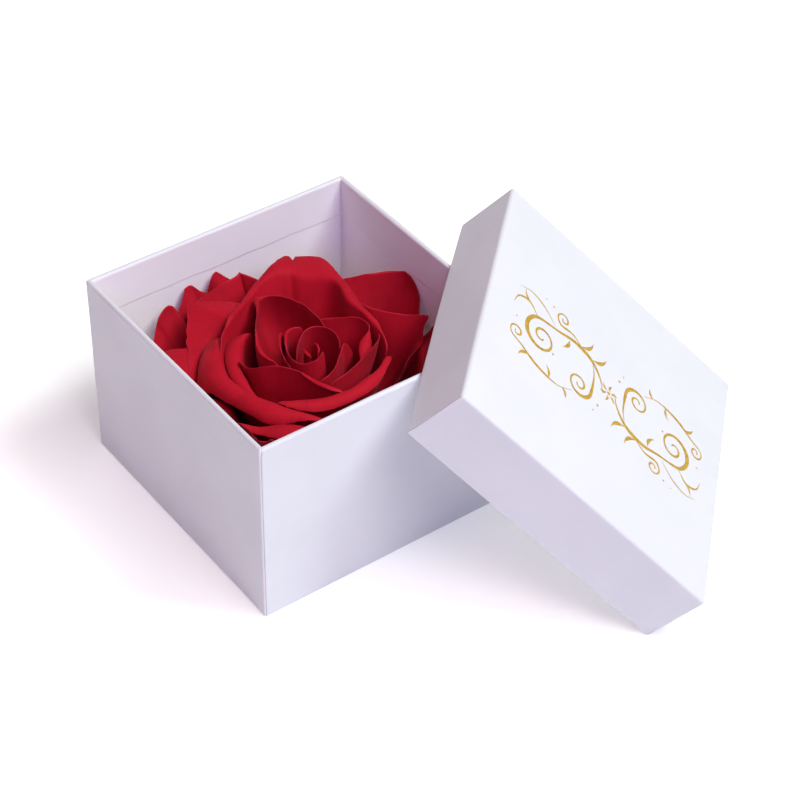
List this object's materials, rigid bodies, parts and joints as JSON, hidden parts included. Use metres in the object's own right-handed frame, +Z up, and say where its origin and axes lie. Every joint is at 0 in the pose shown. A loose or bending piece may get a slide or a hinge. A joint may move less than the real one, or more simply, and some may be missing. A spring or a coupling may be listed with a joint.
{
  "type": "preserved rose box",
  "caption": "Large preserved red rose head that fills an open square white paper box, its shallow square lid leaning on a corner of the box; stands on the box's flat base.",
  "frame": {"origin": "middle of the underside of the box, on the surface that it stands on", "axes": "+Z up; X and Y along the box's sides, with the lid leaning on the +X -Y corner"},
  "size_m": [0.1784, 0.1863, 0.0881],
  "materials": {
    "white_paper": "smooth cool white paper wrapped over board, soft sheen",
    "rose_petal": "soft velvety preserved petal, deep red, paler at the worn edges",
    "rose_green": "matt dried green stem and receptacle",
    "gold_foil": "thin hot-stamped gold foil, satin"
  },
  "bodies": {
    "root": {"box_base": "white_paper", "lid": "white_paper", "receptacle": "rose_green", "heart_petal_1": "rose_petal", "heart_petal_2": "rose_petal", "bud_petal_1": "rose_petal", "bud_petal_2": "rose_petal", "bud_petal_3": "rose_petal", "bud_petal_4": "rose_petal", "inner_petal_1": "rose_petal", "inner_petal_2": "rose_petal", "inner_petal_3": "rose_petal", "inner_petal_4": "rose_petal", "inner_petal_5": "rose_petal", "middle_petal_1": "rose_petal", "middle_petal_2": "rose_petal", "middle_petal_3": "rose_petal", "middle_petal_4": "rose_petal", "middle_petal_5": "rose_petal", "middle_petal_6": "rose_petal", "outer_petal_1": "rose_petal", "outer_petal_2": "rose_petal", "outer_petal_3": "rose_petal", "outer_petal_4": "rose_petal", "outer_petal_5": "rose_petal", "outer_petal_6": "rose_petal", "outer_petal_7": "rose_petal", "outer_petal_8": "rose_petal", "guard_petal_1": "rose_petal", "guard_petal_2": "rose_petal", "guard_petal_3": "rose_petal", "guard_petal_4": "rose_petal", "guard_petal_5": "rose_petal", "guard_petal_6": "rose_petal"}
  },
  "joints": []
}
